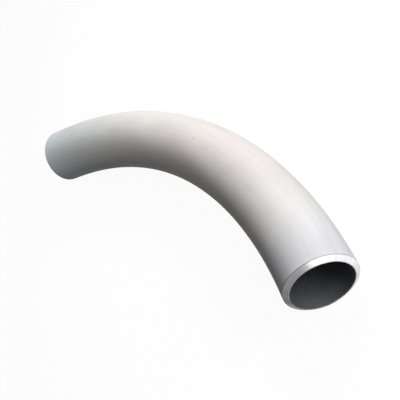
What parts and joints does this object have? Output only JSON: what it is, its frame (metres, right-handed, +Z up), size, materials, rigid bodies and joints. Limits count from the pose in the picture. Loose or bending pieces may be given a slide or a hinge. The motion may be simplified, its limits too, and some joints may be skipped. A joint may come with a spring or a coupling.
{
  "type": "pipe bend",
  "caption": "Long-radius steel pipe bend with bevelled butt-weld ends, turning a pipe run through a smooth curve.",
  "frame": {"origin": "centre of the inlet's end face, on the pipe's axis", "axes": "+Z up, square to the plane of the bend, with the pipe lying flat on its side; -Y out of the inlet along its axis; the pipe turns from +Y towards -X"},
  "size_m": [0.4995, 0.7696, 0.1142],
  "materials": {
    "steel": "matte"
  },
  "bodies": {
    "root": {"pipe_bend": "steel"}
  },
  "joints": []
}
